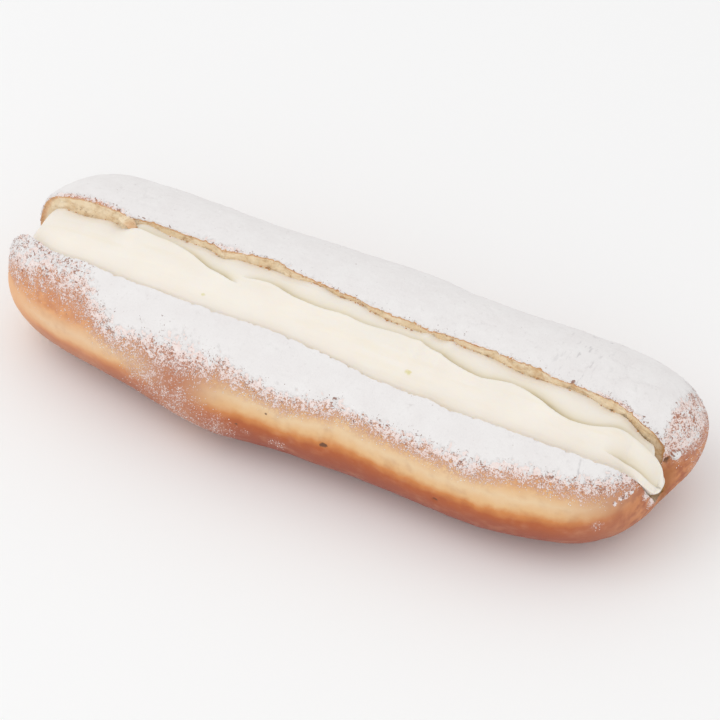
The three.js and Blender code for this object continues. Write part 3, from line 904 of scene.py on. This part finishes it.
def scatter_tree(name, density_name, **inputs):
    """Scatters lumps over a mesh, as dense as a field stored on it, and gives back only the lumps."""
    inputs = {"Density": 1.0, "Radius": 0.17, "Smallest": 0.6, "Largest": 1.4, "Seed": 1, **inputs}
    nodes, given = modifier_tree(name, inputs)
    wanted = read_named(nodes, density_name)
    place = nodes.scaled(nodes.add("GeometryNodeInputPosition"), 1 / MM)
    clusters = nodes.noise(place, 1.6, 2).ramp(-0.25, 0.35)
    per_area = wanted * clusters * given.other("Density") * (1 / MM**2)
    spread = {"Mesh": given.other("Geometry"), "Density": per_area, "Seed": given.other("Seed")}
    points = nodes.add("GeometryNodeDistributePointsOnFaces", None, spread)
    lump_size = {"Segments": 4, "Rings": 2, "Radius": given.other("Radius") * MM}
    lump = nodes.add("GeometryNodeMeshUVSphere", None, lump_size)
    turn = nodes.add("FunctionNodeRandomValue", {"data_type": "FLOAT_VECTOR"}, {1: (FULL_TURN,) * 3})
    low, high = (nodes.add("ShaderNodeCombineXYZ", None, dict.fromkeys(range(3), given.other(end)))
                 for end in ("Smallest", "Largest"))
    sizes = {0: low, 1: high, "Seed": SIZE_SEED}
    size = nodes.add("FunctionNodeRandomValue", {"data_type": "FLOAT_VECTOR"}, sizes)
    put = {"Points": points, "Instance": lump, "Rotation": turn, "Scale": size}
    copies = nodes.add("GeometryNodeInstanceOnPoints", None, put)
    real = nodes.add("GeometryNodeRealizeInstances", None, {"Geometry": copies})
    return nodes, real


def scattered(name, over, density, material, values):
    """A piece of many lumps over another piece's surface."""
    store(over, name, density)
    made = into_scene(name, over.data.copy())
    nodes, real = scatter_tree(name + "_nodes", name)
    dressed = nodes.add("GeometryNodeSetMaterial", None, {"Geometry": real, "Material": material})
    nodes.add("NodeGroupOutput", None, {0: dressed})
    run_tree(made, nodes, values)
    print(name + ":", triangles(made), "triangles")
    return made


# %% Grains on the crust
# They lie where the coat thins out to half cover, and neither on the closed coat nor in the crumb.
GRAIN_COVER, GRAIN_SPREAD, MOST_GRAIN_COVER, STILL_CRUST = 0.5, 0.22, 0.9, 0.02
sugar_material = bpy.data.materials.new("icing_sugar")
cover = sugar_cover(bun_points)
thin = np.exp(-(((cover - GRAIN_COVER) / GRAIN_SPREAD) ** 2)) * (cover < MOST_GRAIN_COVER)
grains = scattered("sugar_grains", bun, thin * (depth < STILL_CRUST), sugar_material,
                   {"Density": 9.0, "Radius": 0.13, "Smallest": 0.4, "Largest": 1.6, "Seed": 4})

# %% Crumbs along the lips and on the cream
# The lips' crumbs lie about a millimetre under the crust. The cream's lie along its shore.
CRUMB_DEPTH, CRUMB_SPREAD, LEAST_DEPTH = 0.9, 0.7, 0.1
lip_crumb = np.exp(-(((depth - CRUMB_DEPTH) / CRUMB_SPREAD) ** 2)) * (depth > LEAST_DEPTH)
crumbs = scattered("loose_crumbs", bun, lip_crumb, crumb_material,
                   {"Density": 0.4, "Radius": 0.32, "Smallest": 0.4, "Largest": 1.3, "Seed": 9})
shore = np.empty(len(cream.data.vertices), dtype=np.float32)
cream.data.attributes["shore"].data.foreach_get("value", shore)
cream_crumbs = scattered("crumbs_on_cream", cream, shore, crumb_material,
                         {"Density": 1.1, "Radius": 0.34, "Smallest": 0.4, "Largest": 1.4, "Seed": 5})

# %% [markdown]
# Where the knife caught, a thin flap of crumb hangs from the tall half's lip over the cream. It is a
# short tongue: flat rings from its root at the lip to its tip, closed at both, with the same torn
# relief as the crumb. A flat card there would look like paper.

# %% A torn flap over the cream
# Root, tip, width and thickness of each flap.
FLAPS = [((-61.2, 3.4, 35.0), (-55.0, -0.9, 35.4), 2.8, 0.7)]
FLAP_STATIONS, FLAP_AROUND, FLAP_TAPER, FLAP_BLUNT = 24, 40, 0.25, 4
# How far its middle bows up, and how deep in the crumb its root counts as, for the colour.
FLAP_BOW, FLAP_DEPTH = 0.4, 0.7


def torn_flap(name, root, tip, width, thickness):
    """A tongue of crumb from a root at the lip to a tip over the cream."""
    u = np.linspace(-1, 1, FLAP_STATIONS)[:, None]
    turn = np.linspace(0, 2 * np.pi, FLAP_AROUND, endpoint=False)[None, :]
    root, tip = np.array(root), np.array(tip)
    along = (tip - root) / np.linalg.norm(tip - root)
    sideways = np.cross(along, (0, 0, 1)) / np.linalg.norm(np.cross(along, (0, 0, 1)))
    outward = np.cross(sideways, along)
    half = width / 2 * (1 - FLAP_TAPER * u) * end_closing(u, FLAP_BLUNT)
    thick = thickness / 2 * end_closing(u, FLAP_BLUNT)
    spine = root + (tip - root) * (u + 1)[..., None] / 2 + outward * FLAP_BOW * (1 - u**2)[..., None]
    rings = spine + sideways * (half * np.cos(turn))[..., None] + outward * (thick * np.sin(turn))[..., None]
    made = closed_loft(name, rings)
    run_tree(made, crumb_tree, {"Offset": 0.0, "Tears": 0.25, "Pores": 0.4})
    give_materials(made, crumb_material)
    store(made, "depth", np.linspace(FLAP_DEPTH, 0.0, len(made.data.vertices)))
    return made


flaps = [torn_flap(f"torn_flap_{number}", *sizes) for number, sizes in enumerate(FLAPS, 1)]
print("torn flaps:", [triangles(flap) for flap in flaps], "triangles")

# %% [markdown]
# ## Finishes
#
# Four finishes meet on this pastry: sugar, crust, crumb and cream. Their colours change from spot to
# spot, and pictures wrapped round the bun would stretch at its ends. So each finish is worked out in
# the shader, from noise that fills space and from the numbers stored on the meshes.

# %% A material's start
def finish_nodes(material, **sockets):
    """An emptied material with one principled shader, whose plain values are set on its sockets."""
    material.use_nodes = True
    material.node_tree.nodes.clear()
    nodes = Nodes(material.node_tree)
    shader = nodes.add("ShaderNodeBsdfPrincipled", None, {k.replace("_", " "): v for k, v in sockets.items()})
    nodes.add("ShaderNodeOutputMaterial", None, {"Surface": shader})
    return nodes, shader.socket.node


def feed(nodes, shader, socket, value):
    """Leads a value into one of the shader's sockets."""
    nodes.tree.links.new(value.socket, shader.inputs[socket])


def bumped(nodes, height, strength, depth_mm):
    """A Bump node's normal, from a height in shares of a depth given in millimetres."""
    inputs = {"Height": height, "Strength": strength, "Distance": depth_mm * MM}
    return nodes.add("ShaderNodeBump", None, inputs)


def colour(red, green, blue):
    """A colour as it looks on a screen, 0 to 255, made linear for the renderer."""
    shares = np.array([red, green, blue]) / 255
    linear = np.where(shares < 0.04045, shares / 12.92, ((shares + 0.055) / 1.055) ** 2.4)
    return (*linear.tolist(), 1.0)


# %% Values to paint with
def place_in_mm(nodes):
    """Each point's place in millimetres."""
    return nodes.scaled(nodes.add("ShaderNodeTexCoord", output="Object"), 1 / MM)


def along_x(nodes, place):
    """How far along the bun a place is."""
    return nodes.add("ShaderNodeSeparateXYZ", None, {0: place})


def named(nodes, name):
    """A number stored on the mesh's points."""
    return nodes.add("ShaderNodeAttribute", {"attribute_name": name}, output="Fac")


def report(material):
    """Says how many nodes a finish took."""
    print(material.name + ":", len(material.node_tree.nodes), "shader nodes")


# %% [markdown]
# Icing sugar is a dry white powder, matt and grainy. Where much fell it is a closed white coat with
# faint grey shade in its clumps. Where little fell, single white grains lie on the crust, over a thin
# film of sugar that the fat has wetted. Both come from one grain noise: the more sugar fell, the more
# of that noise counts as white. The crust reads the same rule, so coat and crust meet without a seam.

# %% Colours of the sugar
SUGAR_WHITE, SUGAR_SHADE, SUGAR_FLECK = colour(243, 241, 240), colour(235, 231, 230), colour(196, 188, 186)
# Painted grey shade for the cracks in the coat.
CRACK_PAINTED_SHADE = colour(180, 176, 178)
GRAIN_WHITE, GRAIN_PINK = colour(247, 238, 235), colour(228, 196, 186)
FILM_PINK, UNDER_PINK = colour(192, 142, 124), colour(176, 124, 104)
# Painted shade in the pits between the grains: dark where little sugar fell, grey where much did.
PIT_PAINTED_SHADE, PIT_PAINTED_GREY_SHADE = colour(112, 84, 76), colour(152, 140, 136)
POWDER_SIZE, FINE_SIZE = 0.6, 0.33
print("grains painted about", POWDER_SIZE, "mm across")


# %% Icing sugar
def powder_field(nodes, place, fallen):
    """How white each spot is: scattered grains where little fell, a closed coat with pits where much did."""
    clusters = nodes.noise(place, 3.5, 2) * 0.3 + nodes.noise(place, 1.5, 2) * 0.35
    grain = nodes.noise(place, POWDER_SIZE, 3, 0.7) * 0.75 + nodes.noise(place, FINE_SIZE, 1) * 0.5
    dimples = nodes.noise(place, 0.8, 2).ramp(0.15, 0.5) * nodes.noise(place, 5, 2).ramp(-0.1, 0.4)
    level = grain + clusters + (fallen - 0.5) - dimples * (1 - fallen.ramp(0.8, 1.5)) * 1.2
    return level.ramp(-0.1, 0.2), level


def under_sugar(nodes, place, fallen, level, crust_colour):
    """What shows between the grains: crust with a film of sugar, and painted shade where a pit is deep, grey
    where much sugar fell.
    """
    film = nodes.mix(level.ramp(-0.6, 0.0) * fallen.ramp(0.0, 0.45) * 0.7, crust_colour, FILM_PINK)
    # Painted shade where a pit is deep, turning grey on the closed coat.
    pit_shade = nodes.noise(place, 0.7, 2).ramp(0.0, 0.4) * level.ramp(-0.35, 0.0) * fallen.ramp(0.2, 0.6)
    return nodes.mix(fallen.ramp(0.6, 1.1) * 0.8, nodes.mix(pit_shade * 0.75, film, PIT_PAINTED_SHADE), PIT_PAINTED_GREY_SHADE)


def sugar_finish(material):
    """White powder with painted shade in its pits where it is thin, and painted grey shade in the cracks
    where it slid.
    """
    nodes, shader = finish_nodes(material, Roughness=1.0, Specular_IOR_Level=0.1)
    place = place_in_mm(nodes)
    patches = nodes.noise(place, 6, 3) * 0.5 + 0.5
    closed = nodes.mix(patches * 1.2, SUGAR_WHITE, SUGAR_SHADE)
    flecks = nodes.noise(place, 1.3, 4, 0.6).ramp(0.1, 0.9) * 0.5
    cracks = crack_field(nodes, place) * named(nodes, "cracked")
    # Painted grey shade in the cracks.
    marked = nodes.mix(cracks * 0.8, nodes.mix(flecks, closed, SUGAR_FLECK), CRACK_PAINTED_SHADE)
    fallen = 1.0 - named(nodes, "bare")
    white, level = powder_field(nodes, place, fallen)
    bare = under_sugar(nodes, place, fallen, level, UNDER_PINK)
    feed(nodes, shader, "Base Color", nodes.mix(white, bare, marked))
    powder = nodes.noise(place, 0.35, 3) + nodes.noise(place, 1.1, 2) + white
    feed(nodes, shader, "Normal", bumped(nodes, powder, 0.5, 0.12))


sugar_finish(sugar_material)
give_materials(coat, sugar_material)
report(sugar_material)

# %% [markdown]
# Fried crust is golden brown and a little oily. It is palest along the band where the bun floated
# above the oil, and darkens from there upwards and, more, downwards. One colour ramp over the angle
# above or below the band gives that order, and noise makes its edges wander. Blotches, a warmer end,
# a baked end and burst blisters are laid over it.

# %% The fry line's colours
# Degrees over the band's middle, and the colour there.
BAND_REACH = 25
BAND_COLOURS = [
    (-25, (156, 82, 64)),
    (-16, (166, 88, 58)),
    (-11, (182, 96, 50)),
    (-7.5, (212, 138, 76)),
    (-4.5, (230, 186, 134)),
    (0, (234, 204, 164)),
    (4, (231, 190, 142)),
    (8, (224, 168, 114)),
    (15, (210, 144, 98)),
    (25, (200, 136, 102)),
]
BAND_STOPS = [((angle / BAND_REACH + 1) / 2, colour(*seen)) for angle, seen in BAND_COLOURS]
BAND_LOST_BROWN = colour(187, 121, 88)
CRUST_RED, CRUST_PALE = colour(160, 86, 60), colour(228, 178, 138)
LEFT_PALE, LEFT_WARM = colour(236, 184, 150), colour(235, 178, 128)
ORANGE_LIGHT, ORANGE_DEEP = colour(232, 164, 106), colour(204, 126, 74)
BAKED_LIGHT, BAKED_DEEP = colour(214, 144, 92), colour(170, 94, 60)
# The first colour on the next line is a painted shadow for the notch below the cream's right end.
NOTCH_PAINTED_SHADOW, BLISTER_BROWN = colour(156, 92, 46), colour(104, 72, 52)
print("fry line:", len(BAND_STOPS), "colours")


# %% Fried crust
def crust_finish(material):
    """Crust browned by its place round the band, with sugar grains where the coat has thinned out."""
    nodes, shader = finish_nodes(material, Specular_IOR_Level=0.35)
    place = place_in_mm(nodes)
    wander = nodes.noise(place, 14, 1) * 2 + nodes.noise(place, 3.5, 3) * 2.5
    across = (named(nodes, "band") + wander) / (2 * BAND_REACH) + 0.5
    browning = nodes.add("ShaderNodeValToRGB", {"stops": BAND_STOPS}, {"Fac": across})
    dark = nodes.mix(named(nodes, "band_lost"), browning, BAND_LOST_BROWN)
    streaks = nodes.noise(nodes.stretched(place, (0.5, 1, 1)), 1.8, 2) * 0.5
    blotches = nodes.noise(place, 4, 3) + streaks
    redder = nodes.mix(blotches.ramp(-0.1, 1.0) * 0.35, dark, CRUST_RED)
    paler = nodes.mix((blotches * -1).ramp(-0.1, 1.0) * 0.3, redder, CRUST_PALE)
    along = along_x(nodes, place)
    lighter = nodes.mix((along * -1).ramp(30, 65) * 0.3, paler, LEFT_PALE)
    warmed = nodes.mix((along * -1).ramp(68, 84) * 0.85, lighter, LEFT_WARM)
    mottle = nodes.noise(place, 2.6, 3).ramp(-0.25, 0.3)
    orange = nodes.mix(mottle, ORANGE_LIGHT, ORANGE_DEEP)
    upper_left = (along * -1).ramp(40, 70) * named(nodes, "band").ramp(5, 11)
    golden = nodes.mix(upper_left * 0.65, warmed, orange)
    brown = nodes.mix(mottle, BAKED_LIGHT, BAKED_DEEP)
    baked = nodes.mix(along.ramp(75, 83) * 0.75, golden, brown)
    # Painted shadow in the notch below the cream's right end.
    scorched = nodes.mix(named(nodes, "scorched") * 0.8, baked, NOTCH_PAINTED_SHADOW)
    blisters = spots(nodes, place, BLISTERS, BLISTER_LENGTH).ramp(0.2, 1.0)
    burst = nodes.mix(blisters * 0.9, scorched, BLISTER_BROWN)

    fallen = named(nodes, "sugar")
    white, level = powder_field(nodes, place, fallen)
    bare = under_sugar(nodes, place, fallen, level, burst)
    pinkness = nodes.noise(place, 0.8, 2) * 0.7 + 0.75 - fallen.ramp(0.25, 0.7) * 0.35
    grain_colour = nodes.mix(pinkness, GRAIN_WHITE, GRAIN_PINK)
    feed(nodes, shader, "Base Color", nodes.mix(white, bare, grain_colour))
    feed(nodes, shader, "Roughness", white * 0.35 + 0.5 + nodes.noise(place, 4, 2) * 0.08)
    skin = nodes.noise(place, 0.9, 3) * 0.4 + nodes.noise(place, 0.3, 2) * 0.2 + white * 0.8
    feed(nodes, shader, "Normal", bumped(nodes, skin, 0.5, 0.12))


crust_finish(crust_material)
report(crust_material)

# %% [markdown]
# Torn crumb is cream-coloured and matt, browned in a thin rim just under the crust, and stringy and
# open where the knife pulled it. The depth under the crust stored on the mesh drives the rim, and
# noise drawn out along the bun gives the strings. The holes get painted shade in the colour and a
# dip in the relief, so painted shade and real shade agree.

# %% Torn crumb
CRUMB_PALE, CRUMB_DEEPER, STRING_TAN = colour(250, 235, 208), colour(236, 208, 166), colour(198, 152, 98)
# The second colour on the next line is painted shade for the crumb's holes.
RIM_BROWN, PORE_PAINTED_SHADE = colour(208, 144, 88), colour(150, 106, 62)
# The second colour on the next line is painted shade for the crumb at the slit's right end.
CRUMB_DUSTED, CRUMB_END_PAINTED_SHADE = colour(236, 224, 214), colour(164, 116, 66)


def crumb_finish(material):
    """Pale, stringy crumb, browned in a rim, dusted on the low half, with painted shade in holes and at the
    right end.
    """
    nodes, shader = finish_nodes(material, Roughness=0.9, Specular_IOR_Level=0.2)
    place = place_in_mm(nodes)
    under = named(nodes, "depth")
    along = along_x(nodes, place)
    left_end, right_end = (along * -1).ramp(78, 84), along.ramp(77, 82.5)
    pale = nodes.mix(nodes.noise(place, 3, 3) * 0.9 + 0.45, CRUMB_PALE, CRUMB_DEEPER)
    strings = nodes.noise(nodes.stretched(place, (0.5, 1, 1)), 1.5, 4, 0.65).ramp(0.0, 0.45)
    torn = nodes.mix(strings * 0.55, pale, STRING_TAN)
    rim = (1 - under.ramp(0.1, left_end * 2.0 + 0.5)) * (nodes.noise(place, 2.5, 2) * 0.5 + 0.75)
    browned = nodes.mix(rim, torn, RIM_BROWN)
    open_crumb = under.ramp(1.8, 3.2) * 0.75 + (1 - under.ramp(0.2, 0.8)) * 0.45 + 0.1
    holes = nodes.noise(place, 1.0, 3).ramp(0.15, 0.42) * open_crumb
    # Painted shade in the holes.
    pore_shaded = nodes.mix(holes, browned, PORE_PAINTED_SHADE)
    dusted = nodes.mix(named(nodes, "dusted") * 0.8, pore_shaded, CRUMB_DUSTED)
    # Painted shade on the crumb at the slit's right end, mostly on the tall half's face.
    end_shade = right_end * (0.75 - named(nodes, "dusted") * 0.65)
    feed(nodes, shader, "Base Color", nodes.mix(end_shade, dusted, CRUMB_END_PAINTED_SHADE))
    texture = nodes.noise(place, 0.5, 3) - holes
    feed(nodes, shader, "Normal", bumped(nodes, texture, 0.7, 0.25))


crumb_finish(crumb_material)
report(crumb_material)

# %% [markdown]
# Whipped cream is smooth, satin rather than glossy, and lets light in. Subsurface scattering carries
# light under its surface, so its creases stay soft and warm instead of grey, and a painted yellowish
# shade darkens each crease. A faint drawn-out noise gives the nozzle's streaks, and two small
# spots are yellow.

# %% Whipped cream
CREAM_WHITE, CREAM_RICH, CREAM_STREAK = colour(244, 239, 230), colour(242, 233, 221), colour(238, 226, 200)
# The crease colour on the next line is painted shade for the cream's creases.
SPOT_YELLOW, CREASE_PAINTED_SHADE = colour(216, 208, 130), colour(202, 184, 124)
# Two small yellow spots on the cream: centre and radius.
YELLOW_SPOTS = [(22.8, -11.8, 31.8, 0.6), (-31.5, -10, 32.2, 0.4)]


def cream_finish(material):
    """Cream with a painted yellowish shade in its creases."""
    nodes, shader = finish_nodes(material, Specular_IOR_Level=0.35, Subsurface_Weight=0.35,
                                 Subsurface_Radius=(1.0, 0.85, 0.6), Subsurface_Scale=1.5 * MM)
    place = place_in_mm(nodes)
    richness = nodes.noise(place, 9, 2) * 0.5 + 0.5
    smooth = nodes.mix(richness, CREAM_WHITE, CREAM_RICH)
    streaks = nodes.noise(nodes.stretched(place, (0.12, 1, 1)), 2.5, 3).ramp(0.0, 0.5)
    streaked = nodes.mix(streaks * 0.25, smooth, CREAM_STREAK)
    flecked = nodes.mix(spots(nodes, place, YELLOW_SPOTS, 1.5) * 0.7, streaked, SPOT_YELLOW)
    # Painted yellowish shade in the creases, as deep as each crease.
    crease_shaded = nodes.mix(named(nodes, "crease"), flecked, CREASE_PAINTED_SHADE)
    feed(nodes, shader, "Base Color", crease_shaded)
    feed(nodes, shader, "Roughness", nodes.noise(place, 3, 2) * 0.06 + 0.42)
    froth = nodes.noise(place, 0.7, 3)
    feed(nodes, shader, "Normal", bumped(nodes, froth, 0.25, 0.05))


cream_material = bpy.data.materials.new("whipped_cream")
cream_finish(cream_material)
give_materials(cream, cream_material)
report(cream_material)

# %% [markdown]
# ## Dress the part
#
# Each piece rides on the part's one body. The fine bun and cream stand for the two solids, and the
# sugar and the crumbs are extra pieces on them. Smooth shading hides the faces of the fine nets, and
# edges sharper than a set angle, such as the slit's lips, stay crisp.

# %% Ride and replace
SHARP_ANGLE = math.radians(60)
for piece, slot in ((bun, "fried_dough"), (cream, "whipped_cream"), (coat, "icing_sugar"),
                    (grains, "icing_sugar"), (crumbs, "fried_dough"), (cream_crumbs, "fried_dough"),
                    *((flap, "fried_dough") for flap in flaps)):
    piece.data.polygons.foreach_set("use_smooth", [True] * len(piece.data.polygons))
    piece.data.set_sharp_from_angle(angle=SHARP_ANGLE)
    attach(piece, "root")
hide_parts("bun")
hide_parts("cream")
print("edges stay sharp over", round(math.degrees(SHARP_ANGLE)), "degrees")

# %% [markdown]
# ## Floor, light and camera
#
# A pale floor and a large soft light over and before the doughnut, with a bright surround, keep the
# shadows weak, as in a light tent.

# %% Floor
FLOOR_SIZE, FLOOR_WHITE = 6, colour(250, 250, 250)
bpy.ops.mesh.primitive_plane_add(size=FLOOR_SIZE)
floor = bpy.context.object
floor.name = "floor"
floor_material = bpy.data.materials.new("floor")
finish_nodes(floor_material, Base_Color=FLOOR_WHITE, Roughness=0.9)
give_materials(floor, floor_material)
print("floor:", FLOOR_SIZE, "m square")

# %% Light
SURROUND_STRENGTH = 0.86
world = bpy.data.worlds.new("surround")
bpy.context.scene.world = world
world.use_nodes = True
world.node_tree.nodes["Background"].inputs["Color"].default_value = (1, 1, 1, 1)
world.node_tree.nodes["Background"].inputs["Strength"].default_value = SURROUND_STRENGTH


def soft_light(name, place, size, power):
    """A square area light that looks at the doughnut."""
    lamp = bpy.data.lights.new(name, "AREA")
    lamp.size, lamp.energy = size, power
    made = into_scene(name, lamp)
    made.location = place
    made.rotation_euler = (-Vector(place)).to_track_quat("-Z", "Y").to_euler()
    print(name, "light:", power, "W,", size, "m wide")


soft_light("key", (-0.45, -0.3, 0.9), 0.7, 1.5)
soft_light("fill", (0.55, -1.0, 0.3), 0.9, 1.2)

# %% Camera
# It looks down on the low half from the side, through a long lens. The aim is set off a little in the
# camera's own right and up directions, which frames the part.
AZIMUTH, ELEVATION, DISTANCE = math.radians(27.5), math.radians(42), 0.76
AIM = Vector((2.07, 1.84, 19.0)) * MM
AIM_RIGHT, AIM_UP = 1.16 * MM, -2.07 * MM

camera_data = bpy.data.cameras.new("camera")
camera_data.sensor_width, camera_data.lens = 36, 162.26
camera_data.clip_start, camera_data.clip_end = 0.01, 20
camera = into_scene("camera", camera_data)
bpy.context.scene.camera = camera
level = math.cos(ELEVATION)
to_camera = Vector((math.sin(AZIMUTH) * level, -math.cos(AZIMUTH) * level, math.sin(ELEVATION)))
right = Vector((math.cos(AZIMUTH), math.sin(AZIMUTH), 0))
up = to_camera.cross(right)
camera.location = AIM + right * AIM_RIGHT + up * AIM_UP + to_camera * DISTANCE
camera.rotation_euler = to_camera.to_track_quat("Z", "Y").to_euler()
bpy.context.scene.view_settings.view_transform = "Standard"
print("camera", DISTANCE, "m away, lens", round(camera_data.lens, 2), "mm")
